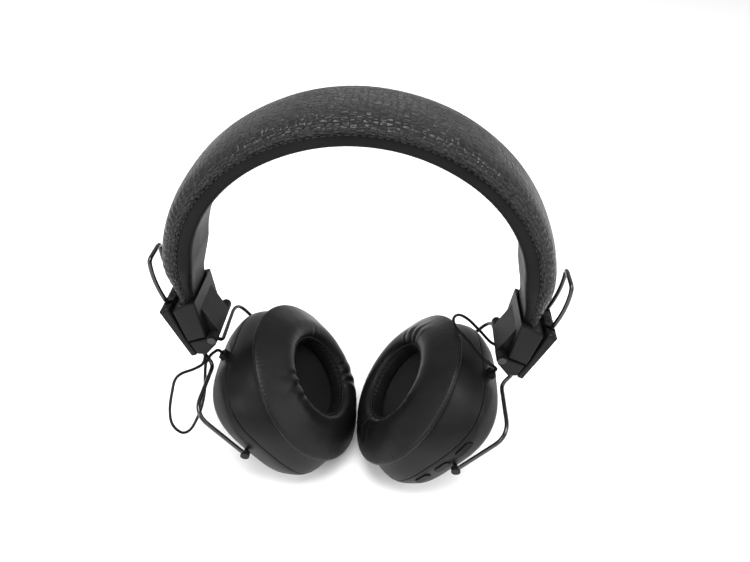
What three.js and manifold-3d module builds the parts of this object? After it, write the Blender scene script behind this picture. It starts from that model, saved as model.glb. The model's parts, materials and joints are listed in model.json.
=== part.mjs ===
// Folding wireless headset: a padded headband, two end caps with fold hinges,
// a sliding wire yoke on each side, and two ear cups that tilt in the yokes.
// Millimetres, +Z up, X from ear to ear, -Y towards the front. It stands on z = 0.
import * as THREE from "three";
import { mergeVertices } from "three/addons/utils/BufferGeometryUtils.js";
import Module from "manifold-3d";

const wasm = await Module();
wasm.setup();

// ---------------------------------------------------------------- driving dimensions
const ARCH = { halfWidth: 69.3, height: 63, power: 1.94, endRadius: 220, endDepth: 30 };
const TAPER = { from: 6, to: -16, width: 0.68, thickness: 0.56, shift: 4 };
const HINGE = { x: 66.5, z: -38, ear: 2.5, pin: 1.2, knuckle: 8.4, half: 13 };
const LEG_INSET = 1.85; // wire axis behind the end plate's outer face
const CUP = { x: 24.83, z: -75.25, lean: 35.2 }; // centre of the pad's seam, lean from vertical
const SEAM_DEPTH = 17; // from the pad's seam to the squarish joint of housing and cover
const PIVOT = { depth: 28, up: 4.5, cap: 2.2, span: [37.4, 39.9] }; // yoke pivots in the cup's own frame
const WIRE = { radius: 1, legs: 6.5, side: 38.6, top: 39.4, loop: 24.2, lean: 21.05, rise: 8.2 };
const SQUARENESS = 3.2; // exponent of the cover's rounded square
const FIT = 0.3; // gap kept between neighbouring pieces
const CABLE = 1.5;
const GLAND = { from: 38.3, to: 41.2, y: 6, h: -20.8, half: 2.2 };
const BUTTON = { length: 9.5, width: 3.6, proud: 0.9, wall: 1.8 };
const BUTTON_PLACES = [[17.4, -21.6], [1.3, -22.6], [-12.4, -22.1]]; // up the cup, along its axis
const RING_SIDES = 36;
const TURNED_SIDES = 28;


// Cable routes from the hinge block to the cup's gland, z from the arch's widest level
const CABLE_LEFT = [
  [-72, -11.2, -46.4], [-72.1, -11.4, -50.8], [-73.6, -12.7, -55], [-79, -12.9, -59.2],
  [-85, -12.7, -62.8], [-89.4, -12.4, -68.2], [-93, -12, -78.5], [-96.4, -12, -90.9],
  [-98, -11.8, -102], [-96.8, -11.6, -109], [-93.4, -11.5, -112.3], [-89, -11.4, -109.3],
  [-84.5, -11.3, -101], [-79.8, -11.2, -89.5], [-76.4, -10.8, -77], [-74.8, -10.3, -66.5],
  [-73.4, -9.9, -58.4], [-71.8, -9.2, -54.7], [-69.7, -8, -52.2], [-67.4, -6.4, -51.4],
  [-66.1, -6, -52.8], [-64.8, -6, -54.6],
];
const CABLE_RIGHT = [
  [72, 11.2, -46.4], [71.9, 11.2, -50.4], [70, 12.3, -53.8], [66, 14, -53.3],
  [60.8, 16.8, -49.4], [54.3, 20.4, -45], [48.9, 19.4, -41.2], [45.7, 13.7, -39],
  [46.8, 6.5, -38.4], [52.7, 2.7, -42.2], [59.3, -1.3, -48.2], [63, -3.9, -49.9],
  [65.6, -5.6, -50.6], [66.6, -6, -51.5], [66.1, -6, -52.8], [64.8, -6, -54.6],
];

// ---------------------------------------------------------------- materials
const PAINT = {
  grain: [0x121214, 0.55, 0], lining: [0x17171a, 0.62, 0], foam: [0x2b2b2e, 0.95, 0],
  steel: [0x8d9094, 0.35, 1], shell: [0x131316, 0.5, 0], wire: [0x08080a, 0.18, 0.3],
  leather: [0x101013, 0.42, 0], cloth: [0x0a0a0b, 0.95, 0], rubber: [0x161618, 0.7, 0],
  magnet: [0x55575b, 0.4, 1], board: [0x1d4a30, 0.6, 0], film: [0xb9b4a4, 0.4, 0],
  cell: [0x9aa0a6, 0.4, 0.4],
};

function part(name, geometry, paint) {
  const [color, roughness, metalness] = PAINT[paint];
  const clean = geometry.clone();
  clean.deleteAttribute("uv");
  clean.computeVertexNormals();
  const mesh = new THREE.Mesh(clean, new THREE.MeshStandardMaterial({ color, roughness, metalness }));
  mesh.name = name;
  return mesh;
}

// ---------------------------------------------------------------- solids
function solidFrom(positions, index) {
  let volume = 0;
  const [a, b, c] = [new THREE.Vector3(), new THREE.Vector3(), new THREE.Vector3()];
  for (let i = 0; i < index.length; i += 3) {
    a.fromArray(positions, 3 * index[i]);
    b.fromArray(positions, 3 * index[i + 1]);
    c.fromArray(positions, 3 * index[i + 2]);
    volume += a.dot(b.cross(c));
  }
  if (volume < 0) index.reverse();
  const geometry = new THREE.BufferGeometry();
  geometry.setAttribute("position", new THREE.Float32BufferAttribute(positions, 3));
  geometry.setIndex(index);
  return geometry;
}

// Skin over a row of rings of equal point count. outline is the flat shape of an end.
function loft(rings, outline) {
  const count = rings[0].length;
  const positions = rings.flat().flatMap((p) => p.toArray());
  const index = [];
  const last = outline ? rings.length - 1 : rings.length;
  for (let r = 0; r < last; r++) {
    const [here, next] = [r * count, ((r + 1) % rings.length) * count];
    for (let i = 0; i < count; i++) {
      const j = (i + 1) % count;
      index.push(here + i, here + j, next + j, here + i, next + j, next + i);
    }
  }
  if (outline) {
    const end = (rings.length - 1) * count;
    const faces = THREE.ShapeUtils.triangulateShape(outline, []);
    const forward = windsForward(outline, faces[0]);
    for (const [p, q, s] of faces) {
      index.push(...(forward ? [p, s, q] : [p, q, s]));
      index.push(...(forward ? [end + p, end + q, end + s] : [end + p, end + s, end + q]));
    }
  }
  return solidFrom(positions, index);
}

// Whether a face of the triangulated outline turns the same way as the outline does
function windsForward(outline, face) {
  const [p, q, s] = face.map((i) => outline[i]);
  const turn = (q.x - p.x) * (s.y - p.y) - (q.y - p.y) * (s.x - p.x);
  return turn > 0 === THREE.ShapeUtils.area(outline) > 0;
}

function toManifold(geometry) {
  let bare = geometry.clone();
  for (const name of Object.keys(bare.attributes)) {
    if (name !== "position") bare.deleteAttribute(name);
  }
  bare = mergeVertices(bare, 1e-4);
  const vertProperties = new Float32Array(bare.attributes.position.array);
  const triVerts = new Uint32Array(bare.index.array);
  return new wasm.Manifold(new wasm.Mesh({ numProp: 3, vertProperties, triVerts }));
}

function fromManifold(solid) {
  const mesh = solid.getMesh();
  const geometry = new THREE.BufferGeometry();
  geometry.setAttribute("position", new THREE.Float32BufferAttribute(mesh.vertProperties, 3));
  geometry.setIndex([...mesh.triVerts]);
  return geometry;
}

function cut(body, ...tools) {
  return fromManifold(tools.reduce((left, tool) => left.subtract(toManifold(tool)), toManifold(body)));
}

function fuse(body, ...others) {
  return fromManifold(others.reduce((sum, other) => sum.add(toManifold(other)), toManifold(body)));
}

function common(body, other) {
  return fromManifold(toManifold(body).intersect(toManifold(other)));
}

// Outline in the XZ plane, pushed along Y from one depth to another
function prism(points, y0, y1, bevel = 0) {
  const shape = new THREE.Shape(points.map(([x, z]) => new THREE.Vector2(x, z)));
  const geometry = new THREE.ExtrudeGeometry(shape, {
    depth: y1 - y0 - 2 * bevel,
    bevelEnabled: bevel > 0,
    bevelThickness: bevel,
    bevelSize: bevel,
    bevelOffset: -bevel,
    bevelSegments: 2,
  });
  return geometry.rotateX(Math.PI / 2).translate(0, y1 - bevel, 0);
}

// Cylinder along Y
function rod(radius, x, z, y0, y1, sides = 20) {
  return new THREE.CylinderGeometry(radius, radius, y1 - y0, sides).translate(x, (y0 + y1) / 2, z);
}

// Profile of [radius, height] pairs turned about the cup's own axis
function turned(profile, sides = TURNED_SIDES) {
  const closed = [...profile, profile[0]].map(([r, h]) => new THREE.Vector2(r, h));
  return mergedGeometry(new THREE.LatheGeometry(closed, sides).rotateX(Math.PI / 2));
}

function mergedGeometry(geometry) {
  geometry.deleteAttribute("normal");
  geometry.deleteAttribute("uv");
  const merged = mergeVertices(geometry, 1e-4);
  const index = [];
  const source = merged.index.array;
  for (let i = 0; i < source.length; i += 3) {
    const [a, b, c] = [source[i], source[i + 1], source[i + 2]];
    if (a !== b && b !== c && a !== c) index.push(a, b, c);
  }
  return solidFrom([...merged.attributes.position.array], index);
}

// A curve that an extrusion follows point by point
class TracedPath extends THREE.Curve {
  constructor(points) {
    super();
    this.points = points;
  }
  getPoint(t, target = new THREE.Vector3()) {
    const at = Math.min(t * (this.points.length - 1), this.points.length - 1);
    const i = Math.min(Math.floor(at), this.points.length - 2);
    return target.lerpVectors(this.points[i], this.points[i + 1], at - i);
  }
  getPointAt(t, target) {
    return this.getPoint(t, target);
  }
  getTangentAt(t, target = new THREE.Vector3()) {
    const i = Math.round(t * (this.points.length - 1));
    const before = this.points[Math.max(i - 1, 0)];
    const after = this.points[Math.min(i + 1, this.points.length - 1)];
    return target.subVectors(after, before).normalize();
  }
}

function tube(points, radius, sides = 8) {
  const section = new THREE.Shape();
  for (let i = 0; i < sides; i++) {
    const angle = (2 * Math.PI * i) / sides;
    section[i ? "lineTo" : "moveTo"](radius * Math.cos(angle), radius * Math.sin(angle));
  }
  const extrudePath = new TracedPath(points);
  return new THREE.ExtrudeGeometry(section, { steps: points.length - 1, extrudePath, bevelEnabled: false });
}

// Follows [point, reach] corners, easing each one that has a reach into a curve
function rounded(corners, steps = 4) {
  const out = [];
  corners.forEach(([at, reach], i) => {
    if (!reach) {
      out.push(at);
      return;
    }
    const [before, after] = [corners[i - 1][0], corners[i + 1][0]];
    const near = Math.min(reach, at.distanceTo(before) * 0.48);
    const far = Math.min(reach, at.distanceTo(after) * 0.48);
    const start = at.clone().add(before.clone().sub(at).setLength(near));
    const end = at.clone().add(after.clone().sub(at).setLength(far));
    out.push(...new THREE.QuadraticBezierCurve3(start, at, end).getPoints(steps));
  });
  return out;
}

// ---------------------------------------------------------------- headband
// Inner line of the arch, from the left end over the top to the right end
function archStations(endDepth = ARCH.endDepth) {
  const { halfWidth, height, power, endRadius } = ARCH;
  const bend = Math.asin(endDepth / endRadius);
  const rightEnd = [0.25, 0.5, 0.75, 1].map((k) => [
    halfWidth - endRadius * (1 - Math.cos(k * bend)),
    -endRadius * Math.sin(k * bend),
  ]);
  const top = [];
  for (let degrees = 180; degrees >= 0; degrees -= 6) {
    const c = Math.cos(THREE.MathUtils.degToRad(degrees));
    const s = Math.sin(THREE.MathUtils.degToRad(degrees));
    top.push([halfWidth * Math.sign(c) * Math.abs(c) ** (2 / power), height * Math.abs(s) ** (2 / power)]);
  }
  return [...rightEnd.map(([x, z]) => [-x, z]).reverse(), ...top, ...rightEnd];
}

function archFrames(line) {
  return line.map(([x, z], i) => {
    const [x0, z0] = line[Math.max(i - 1, 0)];
    const [x1, z1] = line[Math.min(i + 1, line.length - 1)];
    const along = new THREE.Vector2(x1 - x0, z1 - z0).normalize();
    const fade = THREE.MathUtils.smoothstep(-z, -TAPER.from, -TAPER.to);
    return {
      base: new THREE.Vector3(x, 0, z),
      out: new THREE.Vector3(-along.y, 0, along.x),
      width: THREE.MathUtils.lerp(1, TAPER.width, fade),
      thickness: THREE.MathUtils.lerp(1, TAPER.thickness, fade),
      shift: TAPER.shift * fade,
    };
  });
}

// Sweeps a section of [across, outward] pairs along the arch, narrowing it at the ends
function bandSolid(section, frames) {
  const rings = frames.map(({ base, out, width, thickness, shift }) =>
    section.map(([y, t]) => base.clone().addScaledVector(out, shift + t * thickness).setY(y * width)));
  return loft(rings, section.map(([y, t]) => new THREE.Vector2(y, t)));
}

function bothSides(half) {
  return [...half, ...half.filter(([y]) => y !== 0).reverse().map(([y, t]) => [-y, t])];
}

const COVER_SECTION = [[-15.5, 5.6], [-16.7, 8], [-15.7, 10.3], [-12.7, 11.9], [-7.3, 12.8], [0, 13.1]];
const COVER_INSIDE = [[13.9, 5.6], [15.2, 8], [14.3, 9.6], [11.7, 10.7], [7, 11.5], [0, 11.8]];
const FOAM_SECTION = [[-13.4, 6.9], [-14.6, 8], [-13.7, 9.3], [-11.2, 10.3], [-6.8, 11], [0, 11.3]];
const LINING_SECTION = [[-15.5, 5.2], [-15.1, 2.4], [-13.9, 0.5], [-12.5, 0]];
const SPRING_SECTION = [[-7, 5.7], [-7, 6.5]];
const BAND_ROOM = [[-12.7, -0.9], [-15.4, 0], [-16.2, 5.4], [-17.4, 8], [-16.4, 10.8],
  [-13.2, 12.7], [0, 14]];

function headband() {
  const frames = archFrames(archStations());
  const shell = [...bothSides(COVER_SECTION), ...bothSides(COVER_INSIDE)];
  return [
    part("headband_cover", bandSolid(shell, frames), "grain"),
    part("headband_foam", bandSolid(bothSides(FOAM_SECTION), frames), "foam"),
    part("headband_lining", bandSolid(bothSides(LINING_SECTION), frames), "lining"),
    part("spring_band", bandSolid(bothSides(SPRING_SECTION), frames), "steel"),
  ];
}

// ---------------------------------------------------------------- end caps and hinge blocks
const COLLAR = [[71.4, -16.2], [69.3, -36.6], [78.2, -40.4], [82.1, -22.2], [79.2, -19.9], [75.4, -17.5]];
const BLOCK = [[69, -37.75], [77.6, -41], [75, -48.3], [70.6, -48.2], [65.3, -41.5], [64.4, -39]];
const PLATE_TOP = new THREE.Vector3(88.3, 0, -23.2);
const PLATE_FOOT = new THREE.Vector3(78, 0, -50);
const legRun = PLATE_FOOT.clone().sub(PLATE_TOP).normalize();
const legOut = new THREE.Vector3(-legRun.z, 0, legRun.x);
const PLATE = [[0, 0], [4.7, 0], [2.8, 19], [3.2, 28], [2.6, 28.7], [0, 28.7]]; // behind the face, run
const BUMPS = [-10.8, 0, 10.8];
const DOWEL = { radius: 1.2, from: 1.3, to: 8, run: 26 };
const LEAF = { half: 10.6, from: 3.25, to: 3.7, top: 20.5, bottom: 23.5 };
const CABLE_HOLE = { x: 72, y: 11.2, top: -45, bottom: -51, radius: 1.05 };

// A point on the end plate: distance behind its outer face, run down from its top edge
function onPlate(back, run, y = 0) {
  return PLATE_TOP.clone().addScaledVector(legOut, -back).addScaledVector(legRun, run).setY(y);
}

function plateOutline(pairs) {
  return pairs.map(([back, run]) => onPlate(back, run)).map(({ x, z }) => [x, z]);
}

// Cylinder square to the end plate
function plateRod(radius, from, to, run, sides = 16) {
  const axis = legOut.clone().negate();
  const turn = new THREE.Quaternion().setFromUnitVectors(new THREE.Vector3(0, 1, 0), axis);
  const middle = onPlate((from + to) / 2, run);
  return new THREE.CylinderGeometry(radius, radius, to - from, sides)
    .applyQuaternion(turn)
    .translate(middle.x, middle.y, middle.z);
}

// Socket that holds the band's end, with the fixed knuckle of the fold hinge
function collar() {
  const k = HINGE.knuckle;
  const body = prism(COLLAR, -HINGE.half, HINGE.half, 0.8);
  const web = prism([[70.8, -22.5], [64.5, -36.4], [64.4, -38.2], [67.6, -38.4], [70.6, -37]], -k, k);
  const knuckle = rod(HINGE.ear, HINGE.x, HINGE.z, -k, k);
  const bore = rod(HINGE.pin + FIT, HINGE.x, HINGE.z, -k - 1, k + 1);
  const frames = archFrames(archStations(ARCH.endDepth + 2 * FIT)).slice(-8);
  return cut(fuse(body, web, knuckle), bore, bandSolid(bothSides(BAND_ROOM), frames));
}

function hingePin() {
  const reach = HINGE.half + 0.9;
  const [x, z] = [HINGE.x, HINGE.z];
  const heads = [-1, 1].map((s) => rod(2, x, z, s > 0 ? reach - 0.6 : -reach, s > 0 ? reach : 0.6 - reach));
  return fuse(rod(HINGE.pin, x, z, -reach, reach), ...heads);
}

// Lower block under the collar, with the moving ears of the hinge
function blockBody() {
  const h = HINGE.half;
  const k = HINGE.knuckle + FIT;
  const base = fuse(prism(BLOCK, -h, h, 0.8), rod(HINGE.ear, HINGE.x, HINGE.z, -h, h));
  const knuckleRoom = rod(HINGE.ear + FIT + 0.1, HINGE.x, HINGE.z, -k, k);
  const webRoom = prism([[64, -34], [72, -34], [72, -38.4], [68.6, -39.8]], -k, k);
  const bore = rod(HINGE.pin + FIT, HINGE.x, HINGE.z, -h - 1, h + 1);
  const room = LEAF.half + FIT;
  const pocket = prism(plateOutline([[2, 20], [4.6, 20], [4.6, 24], [2, 24]]), -room, room);
  const dowelHole = plateRod(DOWEL.radius + FIT, DOWEL.from, DOWEL.to + FIT, DOWEL.run);
  const { x, y, top, bottom, radius } = CABLE_HOLE;
  const cableHole = new THREE.CylinderGeometry(radius, radius, top - bottom, 12)
    .rotateX(Math.PI / 2)
    .translate(x, y, (top + bottom) / 2);
  return cut(base, knuckleRoom, webRoom, bore, pocket, dowelHole, cableHole);
}

// Outer plate with the grooves that guide the wire legs and soft bumps on its top edge
function blockPlate() {
  const h = HINGE.half;
  const base = prism(plateOutline(PLATE), -h, h, 0.7);
  const bumps = BUMPS.map((y) => {
    const middle = onPlate(2.4, 0.9);
    return new THREE.SphereGeometry(2.3, 12, 8).scale(1, 0.95, 0.9).translate(middle.x, y, middle.z);
  });
  const w = WIRE.radius + FIT;
  const inner = LEG_INSET - w;
  const grooves = [-1, 1].map((s) =>
    prism(plateOutline([[inner, -4], [8, -4], [8, 32], [inner, 32]]), s * WIRE.legs - w, s * WIRE.legs + w));
  const dowelHole = plateRod(DOWEL.radius + FIT, DOWEL.from - FIT, DOWEL.to, DOWEL.run);
  return cut(fuse(base, ...bumps), ...grooves, dowelHole);
}

function leafSpring() {
  const { half, from, to, top, bottom } = LEAF;
  return prism(plateOutline([[from, top], [to, top], [to, bottom], [from, bottom]]), -half, half);
}

// ---------------------------------------------------------------- wire yoke
const lean = THREE.MathUtils.degToRad(CUP.lean);

// A point given in the cup's own frame: up the cup, across, and towards the head
function onCup(up, y, depth) {
  const x = CUP.x + up * Math.sin(lean) - depth * Math.cos(lean);
  const z = CUP.z + up * Math.cos(lean) + depth * Math.sin(lean);
  return new THREE.Vector3(x, y, z);
}

// The free loop above the block leans back over the arch with one even bend
function loopPoint(run) {
  const turn = 2 * (WIRE.lean - WIRE.rise);
  const point = onPlate(LEG_INSET, 0, WIRE.legs);
  const pieces = 24;
  for (let i = 0; i < pieces; i++) {
    const s = (run * (i + 0.5)) / pieces;
    const angle = THREE.MathUtils.degToRad(WIRE.lean - (turn * s) / WIRE.loop);
    point.x += (Math.sin(angle) * run) / pieces;
    point.z += (Math.cos(angle) * run) / pieces;
  }
  return point;
}

function wirePath() {
  const { side, top, legs, loop } = WIRE;
  const depth = -PIVOT.depth;
  const half = [
    [onCup(PIVOT.up, 34.3, depth), 0],
    [onCup(PIVOT.up, side, depth), 1.8],
    [onCup(top, side, depth), 9],
    [onCup(top - 0.6, legs + 1.8, depth - 0.2), 3.2],
    [onPlate(LEG_INSET, 34, legs), 4],
    [onPlate(LEG_INSET, 0, legs), 0],
    [loopPoint(6), 0],
    [loopPoint(12), 0],
    [loopPoint(18), 0],
    [loopPoint(loop), 3.4],
  ];
  const mirrored = half.map(([p, reach]) => [p.clone().setY(-p.y), reach]).reverse();
  return rounded([...half, ...mirrored]);
}

// Small disc that closes the wire's bent end at the pivot
function pivotCap(sign) {
  const path = wirePath();
  const end = sign > 0 ? path.slice(0, 8) : path.slice(-8);
  const { x, z } = onCup(PIVOT.up, 0, -PIVOT.depth);
  const [near, far] = PIVOT.span;
  const disc = sign > 0 ? rod(PIVOT.cap, x, z, near, far) : rod(PIVOT.cap, x, z, -far, -near);
  return cut(disc, tube(end, WIRE.radius + FIT, 12));
}

// ---------------------------------------------------------------- ear cup
function ring(half, depth, power = SQUARENESS) {
  const points = [];
  for (let i = 0; i < RING_SIDES; i++) {
    const angle = (2 * Math.PI * (i + 0.5)) / RING_SIDES;
    const [c, s] = [Math.cos(angle), Math.sin(angle)];
    const x = Math.sign(c) * Math.abs(c) ** (2 / power);
    const y = Math.sign(s) * Math.abs(s) ** (2 / power);
    points.push(new THREE.Vector3(half * x, half * y, depth));
  }
  return points;
}

function capped(rings) {
  return loft(rings, rings[0].map(({ x, y }) => new THREE.Vector2(x, y)));
}

function housing() {
  const outer = [[38.6, -SEAM_DEPTH, 3.2], [38.5, -12, 2.9], [38.2, -7.5, 2.5], [37.8, -3.6, 2.15],
    [37.4, -1.4, 2], [36.4, -0.6, 2]];
  const inner = [[24, -0.6, 2], [24, -2.6, 2], [34.8, -2.8, 2], [36, -5, 2.2], [36.5, -8, 2.5],
    [36.8, -12, 2.9], [37, -SEAM_DEPTH, 3.2]];
  return loft([...outer, ...inner].map(([half, depth, power]) => ring(half, depth, power)));
}

const COVER_WALL = [[38.6, -17.3], [38.3, -20], [37, -25], [36, -28], [34.9, -29.8], [33, -31]];

function coverSolid(offset) {
  return capped(COVER_WALL.map(([half, depth]) => ring(half + offset, depth)));
}

function outerCover(front, withButtons) {
  const inside = [[29, -29.2], [32.6, -28.4], [34.2, -26.6], [35.2, -25], [36.5, -20], [36.8, -17.3]];
  const rings = [...inside, ...COVER_WALL].map(([half, depth]) => ring(half, depth));
  const pivotHole = rod(WIRE.radius + FIT, PIVOT.up, -PIVOT.depth, -50, 50, 12);
  const slots = withButtons
    ? BUTTON_PLACES.map((place) => stadium(place, BUTTON.length + 2 * FIT, BUTTON.width + 2 * FIT, front))
    : [];
  return cut(capped(rings), pivotHole, ...slots);
}

// Oblong with round ends, long side up the cup, running in through the front wall
function stadium([up, depth], length, width, front) {
  const shape = new THREE.Shape();
  const reach = (length - width) / 2;
  shape.absarc(reach, 0, width / 2, -Math.PI / 2, Math.PI / 2);
  shape.absarc(-reach, 0, width / 2, Math.PI / 2, (3 * Math.PI) / 2);
  const bar = new THREE.ExtrudeGeometry(shape, { depth: 12, bevelEnabled: false, curveSegments: 7 });
  return bar.rotateX(Math.PI / 2).translate(up, front > 0 ? 42 : -30, depth);
}

function button(place, front) {
  const { length, width, proud, wall } = BUTTON;
  const flangeOut = wall + FIT + 0.05;
  const face = common(stadium(place, length, width, front), coverSolid(proud));
  const flange = common(stadium(place, length + 1.4, width + 1.2, front), coverSolid(-flangeOut));
  return cut(fuse(face, flange), coverSolid(-flangeOut - 0.8));
}

// The cover flares past the housing's rim and hangs over it as a short skirt
const PAD_SKIN = [[38.4, -0.3], [38.4, -2.2], [39.6, -2.2], [41.2, -1], [41.5, 0.2], [40.9, 1.1],
  [38, 3.2], [34.4, 5.6], [31, 7.9], [28.4, 8.9], [25, 8.5], [22, 6.8], [20, 4.3], [19.2, 1.6],
  [19.5, -0.3], [22, -0.3], [22, 0.6], [20.4, 0.8], [20.2, 1.8], [20.9, 3.9], [22.7, 6.1], [25.3, 7.5],
  [28, 7.8], [29.9, 7.1], [32.8, 5.1], [36, 2.8], [37.4, 0.9], [36, 0.6], [36, -0.3]];
const PAD_FOAM = [[36.3, 1.2], [35.4, 2.6], [32.4, 4.7], [29.5, 6.6], [28, 7.2], [25.5, 6.9], [23.1, 5.6],
  [21.4, 3.6], [20.8, 1.9], [21, 1.2]];
const PAD_RING = [[35.6, -0.3], [35.6, 0.7], [22.4, 0.7], [22.4, -0.3]];
const DRIVER_FRAME = [[19.5, -5.3], [19.5, -6.6], [17.4, -7], [17.4, -11.4], [10.4, -11.4], [10.4, -10.2],
  [16.2, -10.2], [16.2, -5.3]];
const DIAPHRAGM = [[0, -4.4], [5, -4.6], [8, -5.6], [12, -4.9], [15.8, -5.5], [15.8, -5.9], [12, -5.3],
  [8, -6], [5, -5], [0, -4.8]];
const MAGNET = [[0, -7.2], [9.9, -7.2], [9.9, -14], [0, -14]];
const BAFFLE = [[16.5, -3.2], [26, -3.2], [26, -5], [16.5, -5]];
const GRILLE = [[0, -1.8], [23.5, -1.8], [23.5, -2.7], [0, -2.7]];

function gland(front) {
  const { from, to, y, h, half } = GLAND;
  const box = new THREE.BoxGeometry(to - from, 2 * half, 3.4).translate((from + to) / 2, 0, h);
  const bore = new THREE.CylinderGeometry(CABLE / 2 + FIT, CABLE / 2 + FIT, 4, 12);
  bore.rotateZ(Math.PI / 2).translate(from + 1.1 + 2, 0, h);
  return cut(box, bore).translate(0, front * y, 0);
}

function cup(name, front) {
  const withButtons = name === "right";
  const pieces = [
    part(`${name}_housing`, housing(), "shell"),
    part(`${name}_outer_cover`, outerCover(front, withButtons), "shell"),
    part(`${name}_ear_pad`, turned(PAD_SKIN), "leather"),
    part(`${name}_pad_foam`, turned(PAD_FOAM), "foam"),
    part(`${name}_pad_ring`, turned(PAD_RING), "rubber"),
    part(`${name}_baffle`, turned(BAFFLE), "rubber"),
    part(`${name}_grille_cloth`, turned(GRILLE), "cloth"),
    part(`${name}_driver_frame`, turned(DRIVER_FRAME), "rubber"),
    part(`${name}_diaphragm`, turned(DIAPHRAGM), "film"),
    part(`${name}_magnet`, turned(MAGNET), "magnet"),
    part(`${name}_cable_gland`, gland(front), "rubber"),
  ];
  if (withButtons) {
    const board = new THREE.BoxGeometry(46, 42, 1.6).translate(0, 0, -19.8);
    pieces.push(part("right_circuit_board", board, "board"));
    BUTTON_PLACES.forEach((place, i) => {
      pieces.push(part(`right_button_${i + 1}`, button(place, front), "rubber"));
    });
  } else {
    pieces.push(part("left_battery", new THREE.BoxGeometry(36, 24, 5.5).translate(0, 0, -22), "cell"));
  }
  const group = new THREE.Group();
  group.add(...pieces);
  group.position.set(CUP.x, 0, CUP.z);
  group.rotation.y = lean - Math.PI / 2;
  return group;
}

// ---------------------------------------------------------------- cables
// The loop is one cable; it is cut once, halfway, where its two ends are free to part
function cableHalves(name, route) {
  const curve = new THREE.CatmullRomCurve3(route.map(([x, y, z]) => new THREE.Vector3(x, y, z)));
  const length = curve.getLength();
  const steps = Math.round(length / 10) * 2;
  const points = curve.getSpacedPoints(2 * steps);
  const upper = points.slice(0, steps + 1);
  const lower = points.slice(steps);
  const back = upper[steps - 1].clone().sub(upper[steps]).setLength(2 * FIT);
  upper[steps] = upper[steps].clone().add(back);
  return [
    part(`${name}_cable_upper`, tube(upper, CABLE / 2), "rubber"),
    part(`${name}_cable_lower`, tube(lower, CABLE / 2), "rubber"),
  ];
}

// ---------------------------------------------------------------- assembly
// Everything outboard of the band, drawn for the right ear; front is -1 there
function side(name, front) {
  const group = new THREE.Group();
  group.add(
    part(`${name}_collar`, collar(), "shell"),
    part(`${name}_hinge_pin`, hingePin(), "steel"),
    part(`${name}_block_body`, blockBody(), "shell"),
    part(`${name}_block_plate`, blockPlate(), "shell"),
    part(`${name}_leaf_spring`, leafSpring(), "steel"),
    part(`${name}_block_dowel`, plateRod(DOWEL.radius, DOWEL.from, DOWEL.to, DOWEL.run), "steel"),
    part(`${name}_wire_yoke`, tube(wirePath(), WIRE.radius), "wire"),
    part(`${name}_pivot_cap_front`, pivotCap(front), "shell"),
    part(`${name}_pivot_cap_back`, pivotCap(-front), "shell"),
    cup(name, front),
  );
  return group;
}

const headset = new THREE.Group();
headset.name = "folding_wireless_headset";
const rightSide = side("right", -1);
const leftSide = side("left", 1);
leftSide.rotation.z = Math.PI;
headset.add(...headband(), rightSide, leftSide);
headset.add(...cableHalves("left", CABLE_LEFT), ...cableHalves("right", CABLE_RIGHT));
headset.updateMatrixWorld(true);
headset.position.z = -new THREE.Box3().setFromObject(headset, true).min.z;

export default headset;
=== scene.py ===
import json
import math

import bpy
from mathutils import Matrix, Vector, noise


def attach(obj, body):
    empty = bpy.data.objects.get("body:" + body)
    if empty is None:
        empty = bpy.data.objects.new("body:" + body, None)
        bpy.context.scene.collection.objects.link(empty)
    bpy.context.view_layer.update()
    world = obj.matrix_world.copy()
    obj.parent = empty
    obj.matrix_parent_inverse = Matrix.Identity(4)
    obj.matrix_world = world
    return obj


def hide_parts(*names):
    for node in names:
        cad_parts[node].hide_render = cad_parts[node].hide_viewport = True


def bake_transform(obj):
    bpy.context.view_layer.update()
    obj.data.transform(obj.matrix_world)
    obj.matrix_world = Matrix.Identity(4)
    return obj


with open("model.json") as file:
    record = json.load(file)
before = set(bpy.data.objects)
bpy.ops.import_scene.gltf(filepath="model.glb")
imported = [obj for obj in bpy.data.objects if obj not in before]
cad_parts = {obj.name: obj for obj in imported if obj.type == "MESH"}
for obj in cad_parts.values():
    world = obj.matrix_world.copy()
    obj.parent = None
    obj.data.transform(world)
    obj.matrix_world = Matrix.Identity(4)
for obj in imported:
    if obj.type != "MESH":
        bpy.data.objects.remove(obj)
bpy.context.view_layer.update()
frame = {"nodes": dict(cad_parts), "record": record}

# ------------------------------------------------------------------ sizes, in millimetres
MM = 0.001
LIFT = 120.878
ARCH = dict(half=69.3, height=63.0, power=1.94, end_radius=220.0, end_depth=29.6)
TAPER = dict(start=6.0, end=-16.0, width=0.68, thickness=0.56, shift=4.0)
CUP = (24.83, -75.25, math.radians(35.2))
PLATE_TOP = (88.3, -23.2)
PLATE_FOOT = (78.0, -50.0)
LEG_INSET = 1.85
PIVOT_UP, PIVOT_DEPTH = 4.5, 28.0
WIRE = dict(radius=1.0, legs=6.5, side=38.6, top=39.4, loop=24.2, lean=21.05, rise=8.2)
CABLE = 1.5
BUTTON_PLACES = [(17.4, -21.6), (1.3, -22.6), (-12.4, -22.1)]

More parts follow.
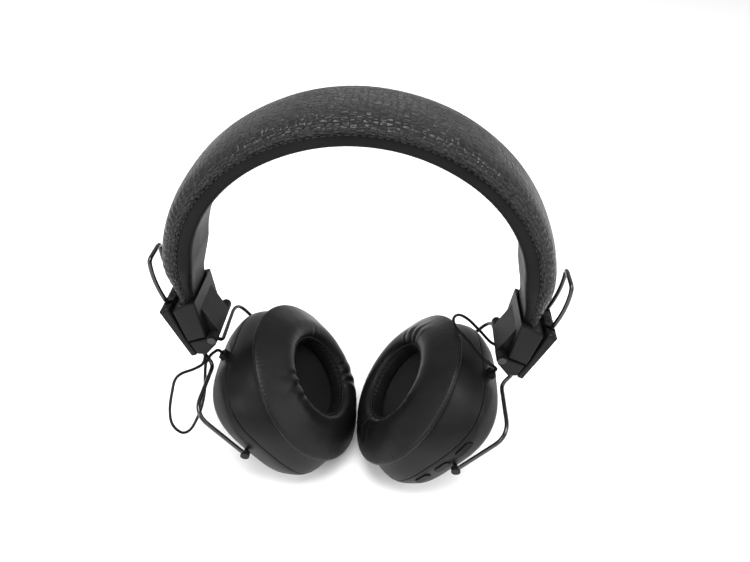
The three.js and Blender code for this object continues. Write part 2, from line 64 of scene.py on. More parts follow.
CABLE_LEFT = [
    (-72, -11.2, -46.4), (-72.1, -11.4, -50.8), (-73.6, -12.7, -55), (-79, -12.9, -59.2),
    (-85, -12.7, -62.8), (-89.4, -12.4, -68.2), (-93, -12, -78.5), (-96.4, -12, -90.9),
    (-98, -11.8, -102), (-96.8, -11.6, -109), (-93.4, -11.5, -112.3), (-89, -11.4, -109.3),
    (-84.5, -11.3, -101), (-79.8, -11.2, -89.5), (-76.4, -10.8, -77), (-74.8, -10.3, -66.5),
    (-73.4, -9.9, -58.4), (-71.8, -9.2, -54.7), (-69.7, -8, -52.2), (-67.4, -6.4, -51.4),
    (-66.1, -6, -52.8), (-64.8, -6, -54.6),
]
CABLE_RIGHT = [
    (72, 11.2, -46.4), (71.9, 11.2, -50.4), (70, 12.3, -53.8), (66, 14, -53.3),
    (60.8, 16.8, -49.4), (54.3, 20.4, -45), (48.9, 19.4, -41.2), (45.7, 13.7, -39),
    (46.8, 6.5, -38.4), (52.7, 2.7, -42.2), (59.3, -1.3, -48.2), (63, -3.9, -49.9),
    (65.6, -5.6, -50.6), (66.6, -6, -51.5), (66.1, -6, -52.8), (64.8, -6, -54.6),
]


def point(x, y, z):
    return Vector((x * MM, y * MM, (z + LIFT) * MM))


# ------------------------------------------------------------------ camera
AZIMUTH, ELEVATION, ROLL = math.radians(2.26), math.radians(38.92), math.radians(2.30)
TARGET = (6.96, 0.0, -7.34)
DISTANCE = 261.96
FOCAL = 593.7 / 750 * 36


def add_camera():
    back = Vector((math.sin(AZIMUTH) * math.cos(ELEVATION), -math.cos(AZIMUTH) * math.cos(ELEVATION),
                   math.sin(ELEVATION)))
    right = (-back).cross(Vector((0, 0, 1))).normalized()
    up = right.cross(-back)
    r2 = right * math.cos(ROLL) + up * math.sin(ROLL)
    u2 = up * math.cos(ROLL) - right * math.sin(ROLL)
    data = bpy.data.cameras.new("camera")
    data.lens = FOCAL
    data.sensor_width = 36
    data.sensor_fit = "HORIZONTAL"
    data.clip_start = 0.01
    camera = bpy.data.objects.new("camera", data)
    turn = Matrix((r2, u2, back)).transposed().to_4x4()
    camera.matrix_world = Matrix.Translation(point(*TARGET) + back * DISTANCE * MM) @ turn
    bpy.context.scene.collection.objects.link(camera)
    bpy.context.scene.camera = camera


add_camera()


# ------------------------------------------------------------------ materials
def shader(name, color, roughness, metallic=0.0, coat=0.0, coat_roughness=0.1, sheen=0.0):
    material = bpy.data.materials.new(name)
    material.use_nodes = True
    bsdf = material.node_tree.nodes["Principled BSDF"]
    bsdf.inputs["Base Color"].default_value = (*color, 1)
    bsdf.inputs["Roughness"].default_value = roughness
    bsdf.inputs["Metallic"].default_value = metallic
    bsdf.inputs["Coat Weight"].default_value = coat
    bsdf.inputs["Coat Roughness"].default_value = coat_roughness
    bsdf.inputs["Sheen Weight"].default_value = sheen
    bsdf.inputs["Sheen Roughness"].default_value = 0.5
    return material


def node(material, kind, **inputs):
    made = material.node_tree.nodes.new("ShaderNode" + kind)
    for key, value in inputs.items():
        made.inputs[key.replace("_", " ")].default_value = value
    return made


def join(material, start, end):
    material.node_tree.links.new(start, end)


def bump(material, height, strength, distance):
    """Chains a bump onto the shader's normal; calls stack up."""
    bsdf = material.node_tree.nodes["Principled BSDF"]
    made = node(material, "Bump", Strength=strength, Distance=distance * MM)
    join(material, height, made.inputs["Height"])
    before = bsdf.inputs["Normal"].links
    if before:
        join(material, before[0].from_socket, made.inputs["Normal"])
    join(material, made.outputs["Normal"], bsdf.inputs["Normal"])


def ramp(material, source, low, high, start=0.3, end=0.7):
    made = material.node_tree.nodes.new("ShaderNodeMapRange")
    made.inputs["From Min"].default_value = start
    made.inputs["From Max"].default_value = end
    made.inputs["To Min"].default_value = low
    made.inputs["To Max"].default_value = high
    join(material, source, made.inputs["Value"])
    return made.outputs["Result"]


def tint(material, source, dark, light, start=0.3, end=0.7):
    """Base colour that varies between two tones with a texture."""
    made = material.node_tree.nodes.new("ShaderNodeValToRGB")
    made.color_ramp.elements[0].position = start
    made.color_ramp.elements[0].color = (*dark, 1)
    made.color_ramp.elements[1].position = end
    made.color_ramp.elements[1].color = (*light, 1)
    join(material, source, made.inputs["Fac"])
    bsdf = material.node_tree.nodes["Principled BSDF"]
    join(material, made.outputs["Color"], bsdf.inputs["Base Color"])


def coordinates(material, kind="Object"):
    return node(material, "TexCoord").outputs[kind]


def noise_field(material, where, scale, detail=3.0, roughness=0.55):
    made = node(material, "TexNoise", Scale=scale, Detail=detail, Roughness=roughness)
    join(material, where, made.inputs["Vector"])
    return made.outputs["Fac"]


def cells(material, where, scale, randomness=1.0, feature="F1"):
    made = node(material, "TexVoronoi", Scale=scale, Randomness=randomness)
    made.feature = feature
    join(material, where, made.inputs["Vector"])
    return made.outputs["Distance"]


def stretched(material, where, scale, rotation=0.0):
    made = node(material, "Mapping")
    made.inputs["Scale"].default_value = scale
    made.inputs["Rotation"].default_value = (0, 0, rotation)
    join(material, where, made.inputs["Vector"])
    return made.outputs["Vector"]


def pebbled_leather():
    material = shader("pebbled_leather", (0.012, 0.012, 0.013), 0.42)
    uv = coordinates(material, "UV")  # millimetres along and across
    rows = stretched(material, uv, (1 / 2.25, 1 / 1.45, 1))
    pebble = cells(material, rows, 1.0, 0.62)
    crease = cells(material, rows, 1.0, 0.62, "DISTANCE_TO_EDGE")
    fine = noise_field(material, coordinates(material), 2600)
    broad = noise_field(material, coordinates(material), 60)
    # Base colour is darker in the creases between pebbles: painted shade, laid on top of the crease bump.
    tint(material, crease, (0.001, 0.001, 0.0012), (0.008, 0.008, 0.0086), 0.0, 0.16)
    bsdf = material.node_tree.nodes["Principled BSDF"]
    join(material, ramp(material, broad, 0.3, 0.4), bsdf.inputs["Roughness"])
    bump(material, ramp(material, crease, 0, 1, 0.0, 0.22), 0.9, 0.32)
    bump(material, ramp(material, pebble, 1, 0, 0.0, 0.7), 0.5, 0.22)
    bump(material, fine, 0.15, 0.05)
    return material


def fine_leather(name, color, roughness, scale, depth):
    material = shader(name, color, roughness)
    where = coordinates(material)
    grain = cells(material, where, scale, 1.0)
    folds = noise_field(material, where, 160, 4.0)
    broad = noise_field(material, where, 45)
    tint(material, broad, tuple(c * 0.75 for c in color), tuple(c * 1.5 for c in color))
    bsdf = material.node_tree.nodes["Principled BSDF"]
    join(material, ramp(material, broad, roughness - 0.05, roughness + 0.07), bsdf.inputs["Roughness"])
    bump(material, grain, 0.35, depth)
    bump(material, folds, 0.25, 0.3)
    return material


def moulded(name, color, roughness, grain=0.04, coat=0.0):
    """Plastic, rubber or painted metal: a spark-eroded texture and faint tonal drift."""
    material = shader(name, color, roughness, coat=coat)
    where = coordinates(material)
    fine = noise_field(material, where, 2200, 2.0)
    broad = noise_field(material, where, 50)
    tint(material, broad, tuple(c * 0.8 for c in color), tuple(min(1, c * 1.35) for c in color))
    bsdf = material.node_tree.nodes["Principled BSDF"]
    join(material, ramp(material, broad, roughness - 0.05, roughness + 0.06), bsdf.inputs["Roughness"])
    bump(material, fine, 0.3, grain)
    return material


def metal(name, color, roughness):
    material = shader(name, color, roughness, metallic=1.0)
    brushed = noise_field(material, stretched(material, coordinates(material), (1, 8, 1)), 700, 2.0)
    tint(material, brushed, tuple(c * 0.8 for c in color), color)
    bump(material, brushed, 0.2, 0.02)
    return material


def woven():
    material = shader("grille_weave", (0.003, 0.003, 0.0035), 0.9, sheen=0.03)
    where = coordinates(material)
    across = node(material, "TexWave", Scale=950.0)
    along = node(material, "TexWave", Scale=950.0)
    across.bands_direction, along.bands_direction = "Y", "Z"
    both = node(material, "Math")
    both.operation = "ADD"
    for wave, slot in ((across, 0), (along, 1)):
        join(material, where, wave.inputs["Vector"])
        join(material, wave.outputs["Fac"], both.inputs[slot])
    tint(material, both.outputs[0], (0.0008, 0.0008, 0.0008), (0.005, 0.005, 0.0055), 0.5, 1.5)
    bump(material, both.outputs[0], 0.6, 0.15)
    return material


MATERIALS = {
    "grain": pebbled_leather(),
    "lining": fine_leather("smooth_lining", (0.004, 0.004, 0.0045), 0.5, 1900, 0.03),
    "leather": fine_leather("pad_leather", (0.0045, 0.0045, 0.005), 0.38, 1700, 0.035),
    "shell": moulded("satin_plastic", (0.005, 0.005, 0.0055), 0.42),
    "wire": moulded("gloss_wire", (0.004, 0.004, 0.0045), 0.2, 0.008, 0.6),
    "rubber": moulded("soft_rubber", (0.004, 0.004, 0.0045), 0.5),
    "cloth": woven(),
    "steel": metal("pin_steel", (0.05, 0.05, 0.055), 0.38),
    "magnet": metal("magnet_steel", (0.33, 0.34, 0.36), 0.4),
    "foam": moulded("pad_foam", (0.03, 0.03, 0.032), 0.95, 0.3),
    "board": moulded("board_green", (0.02, 0.09, 0.05), 0.45),
    "film": moulded("driver_film", (0.5, 0.48, 0.42), 0.35),
    "cell": moulded("battery_wrap", (0.3, 0.32, 0.34), 0.35),
    "thread": moulded("dark_thread", (0.014, 0.014, 0.015), 0.55),
}
# How strongly each black surface mirrors the bright room
GLOSS = {"grain": 0.26, "lining": 0.08, "leather": 0.13, "shell": 0.09, "wire": 0.2, "rubber": 0.08,
         "cloth": 0.03, "thread": 0.25}
for slot_name, level in GLOSS.items():
    surface = MATERIALS[slot_name].node_tree.nodes["Principled BSDF"]
    surface.inputs["Specular IOR Level"].default_value = level
for entry in frame["record"]["subparts"]:
    data = frame["nodes"][entry["node"]].data
    data.materials.clear()
    data.materials.append(MATERIALS[entry["material_slot"]])


# ------------------------------------------------------------------ mesh helpers
def finish_piece(obj, slot, body, *nodes, blend=None):
    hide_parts(*nodes)
    if blend:
        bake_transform(obj)
    else:
        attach(obj, body)
    return obj


def mesh_object(name, vertices, faces, slot, uvs=None):
    mesh = bpy.data.meshes.new(name)
    mesh.from_pydata([tuple(v) for v in vertices], [], faces)
    mesh.materials.append(MATERIALS[slot])
    for polygon in mesh.polygons:
        polygon.use_smooth = True
    if uvs:
        layer = mesh.uv_layers.new(name="UVMap")
        for polygon, corners in zip(mesh.polygons, uvs):
            for loop, uv in zip(polygon.loop_indices, corners):
                layer.data[loop].uv = uv
    mesh.update()
    obj = bpy.data.objects.new(name, mesh)
    bpy.context.scene.collection.objects.link(obj)
    return obj


def skin(name, rings, slot, around=True, along=False, caps=True, measure=None):
    """Surface over rows of rings. measure gives (along, across) in millimetres for the UV map."""
    count, rows = len(rings[0]), len(rings)
    vertices = [p for ring in rings for p in ring]
    faces, uvs = [], []
    for r in range(rows if along else rows - 1):
        for c in range(count if around else count - 1):
            r1, c1 = (r + 1) % rows, (c + 1) % count
            faces.append((r * count + c, r * count + c1, r1 * count + c1, r1 * count + c))
            if measure:
                uvs.append([measure(r, c), measure(r, c + 1), measure(r + 1, c + 1), measure(r + 1, c)])
    if caps and not along:
        faces.append(tuple(reversed(range(count))))
        faces.append(tuple((rows - 1) * count + c for c in range(count)))
        if measure:
            uvs.extend([[(0, 0)] * count] * 2)
    obj = mesh_object(name, vertices, faces, slot, uvs if measure else None)
    fix_normals(obj)
    return obj


def fix_normals(obj):
    import bmesh
    work = bmesh.new()
    work.from_mesh(obj.data)
    bmesh.ops.recalc_face_normals(work, faces=work.faces)
    work.to_mesh(obj.data)
    work.free()


def smooth_line(points, samples, closed=False):
    """Catmull-Rom through the points, any dimension, with a fixed number of samples per span."""
    n = len(points)
    out = []
    spans = n if closed else n - 1
    for i in range(spans):
        p = [points[(i + k) % n] if closed else points[min(max(i + k, 0), n - 1)] for k in (-1, 0, 1, 2)]
        for s in range(samples):
            t = s / samples
            out.append(tuple(
                0.5 * (2 * b + (c - a) * t + (2 * a - 5 * b + 4 * c - d) * t * t
                       + (3 * b - a - 3 * c + d) * t ** 3)
                for a, b, c, d in zip(*p)))
    if not closed:
        out.append(tuple(points[-1]))
    return out


def tube(name, points, radius, slot, sides=16):
    """Round tube along points, closed with flat caps at both ends."""
    tangents = []
    for i in range(len(points)):
        tangents.append((points[min(i + 1, len(points) - 1)] - points[max(i - 1, 0)]).normalized())
    normal = tangents[0].orthogonal().normalized()
    rings = []
    for i, (at, tangent) in enumerate(zip(points, tangents)):
        normal = (normal - tangent * normal.dot(tangent)).normalized()
        side = tangent.cross(normal)
        ring = []
        for k in range(sides):
            angle = 2 * math.pi * k / sides
            ring.append(at + (normal * math.cos(angle) + side * math.sin(angle)) * radius)
        rings.append(ring)
    return skin(name, rings, slot)


def bevelled(obj, width, segments=3, angle=30):
    made = obj.modifiers.new("edge", "BEVEL")
    made.width = width * MM
    made.segments = segments
    made.limit_method = "ANGLE"
    made.angle_limit = math.radians(angle)
    made.harden_normals = True
    for polygon in obj.data.polygons:
        polygon.use_smooth = True
    return made


# ------------------------------------------------------------------ cables, one per side
def cable(name, route, block, yoke):
    line = [point(*p) for p in smooth_line(route, 8)]
    obj = tube(f"{name}_cable", line, CABLE / 2 * MM, "rubber", 12)
    finish_piece(obj, "rubber", None, f"{name}_cable_upper", f"{name}_cable_lower",
                 blend=(block, yoke, line[0], line[-1]))


cable("left", CABLE_LEFT, "left_block", "left_yoke")
cable("right", CABLE_RIGHT, "right_block", "right_yoke")


# ------------------------------------------------------------------ headband
def smoothstep(x, low, high):
    t = min(max((x - low) / (high - low), 0), 1)
    return t * t * (3 - 2 * t)


def arch_line():
    """Fine inner line of the arch as (x, z), evenly spaced, from left to right."""
    bend = math.asin(ARCH["end_depth"] / ARCH["end_radius"])
    end = []
    for i in range(1, 61):
        a = bend * i / 60
        end.append((ARCH["half"] - ARCH["end_radius"] * (1 - math.cos(a)), -ARCH["end_radius"] * math.sin(a)))
    top = []
    for i in range(1441):
        c, s = math.cos(math.pi * (1 - i / 1440)), math.sin(math.pi * (1 - i / 1440))
        power = 2 / ARCH["power"]
        top.append((ARCH["half"] * math.copysign(abs(c) ** power, c), ARCH["height"] * abs(s) ** power))
    line = [(-x, z) for x, z in reversed(end)] + top + end
    lengths = [0.0]
    for a, b in zip(line, line[1:]):
        lengths.append(lengths[-1] + math.dist(a, b))
    even, i = [], 0
    count = int(lengths[-1] / 0.55)
    for k in range(count + 1):
        at = lengths[-1] * k / count
        while i < len(line) - 2 and lengths[i + 1] < at:
            i += 1
        t = (at - lengths[i]) / max(lengths[i + 1] - lengths[i], 1e-9)
        even.append((line[i][0] + (line[i + 1][0] - line[i][0]) * t,
                     line[i][1] + (line[i + 1][1] - line[i][1]) * t))
    return even, lengths[-1]


STATIONS, ARCH_LENGTH = arch_line()


def station_frames():
    frames = []
    for i, (x, z) in enumerate(STATIONS):
        x0, z0 = STATIONS[max(i - 3, 0)]
        x1, z1 = STATIONS[min(i + 3, len(STATIONS) - 1)]
        length = math.hypot(x1 - x0, z1 - z0)
        fade = smoothstep(-z, -TAPER["start"], -TAPER["end"])
        frames.append((x, z, -(z1 - z0) / length, (x1 - x0) / length, fade))
    return frames


FRAMES = station_frames()


def on_band(index, y, t):
    x, z, ox, oz, fade = FRAMES[index]
    reach = TAPER["shift"] * fade + t * (1 + (TAPER["thickness"] - 1) * fade)
    return (x + ox * reach, y * (1 + (TAPER["width"] - 1) * fade), z + oz * reach)


def perimeter(section):
    out = [0.0]
    for a, b in zip(section, section[1:] + section[:1]):
        out.append(out[-1] + math.dist(a, b))
    return out


def band_skin(name, section, slot, sculpt):
    """Sweeps a closed section of (across, outward) along the arch; sculpt moves each point in or out."""
    count = len(section)
    centre = (0.0, 8.0)
    around = perimeter(section)
    rings = []
    for i in range(len(STATIONS)):
        s = ARCH_LENGTH * i / (len(STATIONS) - 1)
        ring = []
        for k, (y, t) in enumerate(section):
            (y0, t0), (y1, t1) = section[k - 1], section[(k + 1) % count]
            ny, nt = t0 - t1, y1 - y0
            size = math.hypot(ny, nt) or 1
            if ny * (y - centre[0]) + nt * (t - centre[1]) < 0:
                ny, nt = -ny, -nt
            push = sculpt(s, y, t, around[k], FRAMES[i][4], FRAMES[i][1])
            ring.append(point(*on_band(i, y + ny / size * push, t + nt / size * push)))
        rings.append(ring)
    step = ARCH_LENGTH / (len(STATIONS) - 1)
    return skin(name, rings, slot, measure=lambda r, c: (r * step, around[c]))


def cover_shape(s, y, t, around, fade, z):
    """Leather gathered over the rolled edges, and drawn into folds where the band narrows."""
    edge = smoothstep(abs(y), 12.6, 16.0) * smoothstep(t, 5.4, 6.6)
    side = math.copysign(1, y)
    wander = 2.2 * noise.noise(Vector((s * 0.05, side * 7, 0)))
    lean = s + wander - 0.55 * t
    gathers = math.sin(2 * math.pi * lean / 3.1) * (0.55 + 0.45 * noise.noise(Vector((s * 0.11, side, 3))))
    narrow = smoothstep(-z, -14, 2)
    drift = 0.5 + noise.noise(Vector((s * 0.16, y * 0.12, 5)))
    folds = math.sin(2 * math.pi * (lean / 4.4 + 0.08 * y)) * drift
    soft = noise.noise(Vector((s * 0.045, y * 0.06, 9)))
    return edge * 0.17 * gathers + narrow * (0.16 * folds + 0.12 * edge * gathers) + 0.14 * soft


def lining_shape(s, y, t, around, fade, z):
    soft = noise.noise(Vector((s * 0.05, y * 0.08, 21)))
    unevenness = 0.4 + noise.noise(Vector((s * 0.2, y * 0.1, 2)))
    crease = smoothstep(-z, -10, 6) * math.sin(2 * math.pi * s / 5.3) * unevenness
    plump = 0.35 * (1 - (abs(y) / 15.5) ** 4) if t < 2 else 0
    return plump + 0.1 * soft + 0.08 * crease


def mirrored(half):
    return half + [(-y, t) for y, t in reversed(half) if y != 0]


def headband():
    outer = smooth_line([(-15.3, 5.45), (-16.1, 6.2), (-16.75, 7.8), (-16.3, 9.6), (-14.6, 11.2),
                         (-11.8, 12.2), (-7.3, 12.85), (-3.6, 13.05), (0, 13.1)], 5)
    cover = mirrored(outer) + [(y, 5.75) for y in (12, 8, 4, 0, -4, -8, -12)]
    piece = band_skin("headband_cover_skin", cover, "grain", cover_shape)
    finish_piece(piece, "grain", "headband", "headband_cover")
    inner = smooth_line([(-15.2, 5.35), (-15.45, 4.4), (-15.2, 2.6), (-14.4, 1.0), (-13.2, 0.25),
                         (-11.5, 0.0), (-6, 0.0), (0, 0.0)], 4)
    lining = mirrored(inner) + [(y, 5.3) for y in (10, 0, -10)]
    piece = band_skin("headband_lining_skin", lining, "lining", lining_shape)
    finish_piece(piece, "lining", "headband", "headband_lining")
    stitches()


def stitches():
    """Thread along the seam where cover meets lining, front and back."""
    vertices, faces = [], []
    step = ARCH_LENGTH / (len(STATIONS) - 1)
    pitch, stitch, radius = 2.6, 1.9, 0.26
    ring = [(0, 0.35), (0.25, 1.0), (0.75, 1.0), (1.0, 0.35)]
    for side in (-1, 1):
        for k in range(int((ARCH_LENGTH - 8) / pitch)):
            start = 4 + k * pitch
            base = len(vertices)
            for share, swell in ring:
                i = min(int((start + share * stitch) / step), len(STATIONS) - 1)
                for q in range(6):
                    angle = math.pi * q / 3
                    y = side * (15.4 + radius * swell * math.cos(angle) + 0.08)
                    t = 5.42 + radius * swell * math.sin(angle) / (1 - 0.44 * FRAMES[i][4])
                    vertices.append(point(*on_band(i, y, t)))
            for r in range(3):
                for q in range(6):
                    a, b = base + 6 * r + q, base + 6 * r + (q + 1) % 6
                    faces.append((a, b, b + 6, a + 6))
            faces.append(tuple(base + q for q in range(5, -1, -1)))
            faces.append(tuple(base + 18 + q for q in range(6)))
    obj = mesh_object("headband_stitches", vertices, faces, "thread")
    fix_normals(obj)
    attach(obj, "headband")


headband()


# ------------------------------------------------------------------ sides
def on_side(name, p):
    x, y, z = p
    return point(x, y, z) if name == "right" else point(-x, -y, z)


def on_cup(up, y, depth):
    x0, z0, lean = CUP
    x = x0 + up * math.sin(lean) - depth * math.cos(lean)
    z = z0 + up * math.cos(lean) + depth * math.sin(lean)
    return (x, y, z)


def on_plate(back, run, y=0.0):
    dx, dz = PLATE_FOOT[0] - PLATE_TOP[0], PLATE_FOOT[1] - PLATE_TOP[1]
    size = math.hypot(dx, dz)
    dx, dz = dx / size, dz / size
    return (PLATE_TOP[0] + dz * back + dx * run, y, PLATE_TOP[1] - dx * back + dz * run)


def rounded(corners, steps):
    out = []
    for i, (at, reach) in enumerate(corners):
        at = Vector(at)
        if not reach:
            out.append(at)
            continue
        before, after = Vector(corners[i - 1][0]), Vector(corners[i + 1][0])
        near = min(reach, (before - at).length * 0.48)
        far = min(reach, (after - at).length * 0.48)
        start = at + (before - at).normalized() * near
        end = at + (after - at).normalized() * far
        for k in range(steps + 1):
            t = k / steps
            out.append(start * (1 - t) ** 2 + at * 2 * t * (1 - t) + end * t * t)
    return out


def loop_point(run):
    turn = 2 * (WIRE["lean"] - WIRE["rise"])
    x, y, z = on_plate(LEG_INSET, 0, WIRE["legs"])
    for i in range(24):
        angle = math.radians(WIRE["lean"] - turn * run * (i + 0.5) / 24 / WIRE["loop"])
        x += math.sin(angle) * run / 24
        z += math.cos(angle) * run / 24
    return (x, y, z)


def wire_yoke(name):
    side, top, legs, loop = (WIRE[k] for k in ("side", "top", "legs", "loop"))
    half = [(on_cup(PIVOT_UP, 34.3, -PIVOT_DEPTH), 0), (on_cup(PIVOT_UP, side, -PIVOT_DEPTH), 1.8),
            (on_cup(top, side, -PIVOT_DEPTH), 9), (on_cup(top - 0.6, legs + 1.8, -PIVOT_DEPTH - 0.2), 3.2),
            (on_plate(LEG_INSET, 34, legs), 4), (on_plate(LEG_INSET, 0, legs), 0)]
    half += [(loop_point(k * 2), 0) for k in range(1, 11)] + [(loop_point(loop), 3.4)]
    back = [((x, -y, z), reach) for (x, y, z), reach in reversed(half)]
    line = [on_side(name, p) for p in rounded(half + back, 10)]
    piece = tube(f"{name}_wire", line, WIRE["radius"] * MM, "wire", 18)
    finish_piece(piece, "wire", f"{name}_yoke", f"{name}_wire_yoke")


def super_ring(name, half, depth, power, sides=144):
    ring = []
    for i in range(sides):
        angle = 2 * math.pi * (i + 0.5) / sides
        c, s = math.cos(angle), math.sin(angle)
        u = half * math.copysign(abs(c) ** (2 / power), c)
        y = half * math.copysign(abs(s) ** (2 / power), s)
        ring.append(on_side(name, on_cup(u, y, depth)))
    return ring


def housing(name):
    outer = smooth_line([(38.6, -16.3, 3.2), (38.55, -12, 2.9), (38.2, -7.5, 2.5), (37.85, -3.6, 2.15),
                         (37.75, -1.5, 2.02)], 6)
    profile = [(37.2, -17.0, 3.2), (38.3, -17.0, 3.2), (38.52, -16.85, 3.2), *outer, (37.7, -1.0, 2.0),
               (37.4, -0.72, 2.0), (36.9, -0.6, 2.0), (24.0, -0.6, 2.0), (24.0, -2.6, 2.0), (34.8, -2.8, 2.0),
               (36.2, -5, 2.2), (36.6, -9, 2.6), (37.0, -13, 3.0)]
    rings = [super_ring(name, *row) for row in profile]
    piece = skin(f"{name}_housing_shell", rings, "shell", along=True)
    finish_piece(piece, "shell", f"{name}_cup", f"{name}_housing")


def outer_cover(name):
    wall = smooth_line([(38.6, -18.0), (38.45, -20), (37.75, -22.7), (36.9, -25.2), (36.0, -27.6),
                        (35.2, -29.2), (34.1, -30.3), (32.6, -30.85), (31.2, -31.0)], 4)
    profile = [(28, -29.2), (32, -28.6), (34.2, -26.6), (35.2, -25), (36.5, -20), (36.9, -17.3),
               (38.3, -17.3), (38.54, -17.45), *wall, (27, -31.0), (14, -31.0)]
    rings = [super_ring(name, half, depth, 3.2) for half, depth in profile]
    piece = skin(f"{name}_cover_shell", rings, "shell")
    if name == "right":
        for place in BUTTON_PLACES:
            carve(piece, stadium_cutter(name, place))
    finish_piece(piece, "shell", f"{name}_cup", f"{name}_outer_cover")


def stadium_cutter(name, place):
    up, depth = place
    length, width = 10.1, 4.2
    reach = (length - width) / 2
    rings = []
    for y in (-42, -29):
        ring = []
        for k in range(40):
            angle = 2 * math.pi * (k + 0.5) / 40
            u = math.copysign(reach, math.cos(angle)) + width / 2 * math.cos(angle)
            ring.append(on_side(name, on_cup(up + u, y, depth + width / 2 * math.sin(angle))))
        rings.append(ring)
    return skin("cutter", rings, "shell")


def carve(piece, cutter):
    made = piece.modifiers.new("cut", "BOOLEAN")
    made.object = cutter
    made.operation = "DIFFERENCE"
    made.solver = "EXACT"
    depsgraph = bpy.context.evaluated_depsgraph_get()
    result = bpy.data.meshes.new_from_object(piece.evaluated_get(depsgraph))
    piece.modifiers.clear()
    piece.data = result
    for polygon in piece.data.polygons:
        polygon.use_smooth = True
    piece.data.set_sharp_from_angle(angle=math.radians(40))
    bpy.data.objects.remove(cutter)


# Wrinkles in the pad's face: angle in degrees, depth, width in degrees, reach from the hole
WRINKLES = [(40, 0.34, 3.0, 0.8), (52, 0.38, 3.4, 0.9), (63, 0.22, 2.6, 0.55), (120, 0.12, 3.0, 0.4),
            (208, 0.34, 3.4, 0.85), (220, 0.38, 3.2, 0.95), (234, 0.24, 2.6, 0.7), (300, 0.14, 3.0, 0.4)]


def pad_push(angle, r, h, inward):
    """How far a point of the pad's face moves along its normal."""
    degrees = math.degrees(angle) % 360
    reach = min(max((r - 20.5) / 20, 0), 1)
    push = 0.0
    for centre, depth, width, extent in WRINKLES:
        bend = 5 * noise.noise(Vector((centre, reach * 2.5, 1)))
        off = (degrees - centre - bend + 180) % 360 - 180
        swell = width * (0.75 + 0.8 * reach)
        if abs(off) < 4 * swell:
            fade = 1 - smoothstep(reach, extent * 0.45, extent)
            ridge = math.exp(-(off / swell) ** 2) - 0.55 * math.exp(-((abs(off) - 1.9 * swell) / swell) ** 2)
            push -= depth * fade * ridge
    where = Vector((math.cos(angle) * r * 0.09, math.sin(angle) * r * 0.09, h * 0.05 + 4))
    push += 0.14 * noise.noise(where) + 0.05 * noise.noise(where * 3.1)
    return push * (1 - inward)


def ear_pad(name):
    face = smooth_line([(41.4, 0.3), (40.8, 1.1), (38.2, 3.05), (34.8, 5.4), (31.6, 7.5), (29.2, 8.8),
                        (26.6, 9.4), (24.0, 9.15), (22.2, 8.3), (21.1, 7.1)], 7)
    rim = smooth_line([(21.0, 6.9), (20.75, 7.0), (20.3, 6.85), (20.05, 6.35), (20.15, 5.9)], 3)
    wall = smooth_line([(20.0, 5.6), (19.6, 4.2), (19.4, 2.2), (19.5, 0.2), (19.7, -0.3)], 3)
    under = [(22, -0.3), (30, -0.25), (36.6, -0.3), (38.4, -0.3), (38.45, -2.0), (38.9, -2.5), (39.8, -2.2),
             (40.7, -1.5), (41.3, -0.85), (41.45, -0.45), (41.1, -0.2), (41.1, 0.0)]
    profile = face + rim + wall + under
    sides = 432
    rings = []
    for k, (r, h) in enumerate(profile):
        (r0, h0), (r1, h1) = profile[k - 1], profile[(k + 1) % len(profile)]
        nr, nh = -(h1 - h0), r1 - r0
        size = math.hypot(nr, nh) or 1
        nr, nh = -nr / size, -nh / size
        ring = []
        for i in range(sides):
            angle = 2 * math.pi * i / sides
            push = 0.0
            if k < len(face):
                ends = min(k, len(face) - 1 - k) / 6
                outer = smoothstep(r, 37.5, 41.2)
                tiny = 0.07 * outer * math.sin(angle * 118 + 2 * noise.noise(Vector((angle * 4, 0, 0))))
                push = min(ends, 1) * (pad_push(angle, r, h, 0) + tiny)
            elif k < len(face) + len(rim):
                push = 0.16 * math.sin(angle * 96)
            elif k < len(face) + len(rim) + len(wall):
                push = 0.12 * math.sin(angle * 48) * smoothstep(h, 1, 5)
            rr, hh = r + nr * push, h + nh * push
            rr = min(rr, 41.6)
            ring.append(on_side(name, on_cup(rr * math.cos(angle), rr * math.sin(angle), hh)))
        rings.append(ring)
    piece = skin(f"{name}_pad_skin", rings, "leather", along=True)
    finish_piece(piece, "leather", f"{name}_cup", f"{name}_ear_pad")


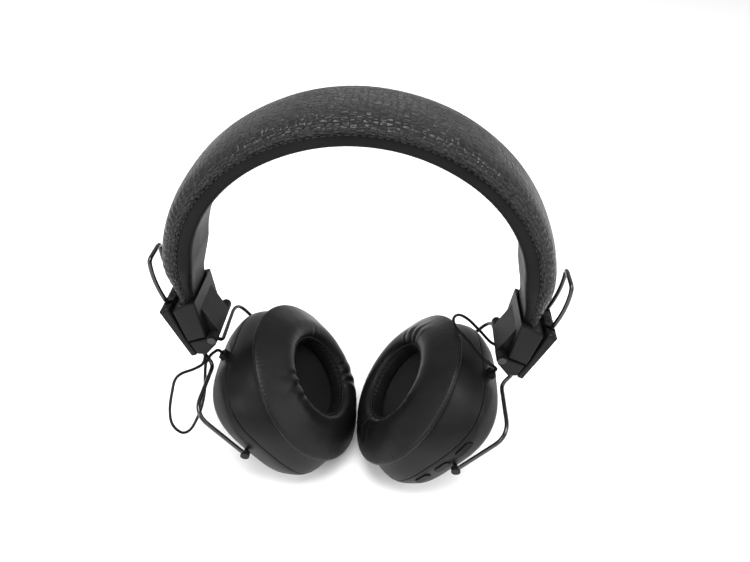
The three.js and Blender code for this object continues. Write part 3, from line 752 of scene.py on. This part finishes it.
# Softened edges of the hard pieces, in millimetres
BEVELS = [("collar", 0.5), ("block_body", 0.45), ("block_plate", 0.4), ("cable_gland", 0.35),
          ("pivot_cap_front", 0.4), ("pivot_cap_back", 0.4), ("hinge_pin", 0.2)]
for side_name in ("left", "right"):
    wire_yoke(side_name)
    housing(side_name)
    outer_cover(side_name)
    ear_pad(side_name)
    for part_name, width in BEVELS:
        bevelled(frame["nodes"][f"{side_name}_{part_name}"], width)
for number in (1, 2, 3):
    bevelled(frame["nodes"][f"right_button_{number}"], 0.35)


# ------------------------------------------------------------------ floor and light
def backdrop():
    material = shader("pale_floor", (0.93, 0.93, 0.93), 0.9)
    vertices = [(-6, -6, 0), (6, -6, 0), (6, 6, 0), (-6, 6, 0)]
    mesh = bpy.data.meshes.new("floor")
    mesh.from_pydata(vertices, [], [(0, 1, 2, 3)])
    mesh.materials.append(material)
    floor = bpy.data.objects.new("floor", mesh)
    bpy.context.scene.collection.objects.link(floor)
    floor.location.z = -0.0005


def area_light(name, where, aim, size, power):
    data = bpy.data.lights.new(name, "AREA")
    data.shape = "RECTANGLE"
    data.size, data.size_y = size
    data.energy = power
    light = bpy.data.objects.new(name, data)
    light.location = where
    light.rotation_euler = (Vector(aim) - Vector(where)).to_track_quat("-Z", "Y").to_euler()
    bpy.context.scene.collection.objects.link(light)


ROOM_LIGHT = 0.8
# Name, place, what it points at, size in metres, power in watts
LIGHTS = [
    ("key", (0.05, -0.15, 0.95), (0, 0, 0.12), (0.6, 0.45), 12),
    ("front", (-0.45, -0.75, 0.5), (0, 0, 0.08), (0.5, 0.5), 5),
    ("side", (0.8, -0.3, 0.45), (0, 0, 0.08), (0.4, 0.6), 3),
]


def studio():
    world = bpy.data.worlds.new("world")
    world.use_nodes = True
    background = world.node_tree.nodes["Background"]
    background.inputs["Color"].default_value = (1, 1, 1, 1)
    background.inputs["Strength"].default_value = ROOM_LIGHT
    bpy.context.scene.world = world
    for light in LIGHTS:
        area_light(*light)


backdrop()
studio()
view_settings = bpy.context.scene.view_settings
view_settings.view_transform = "Standard"
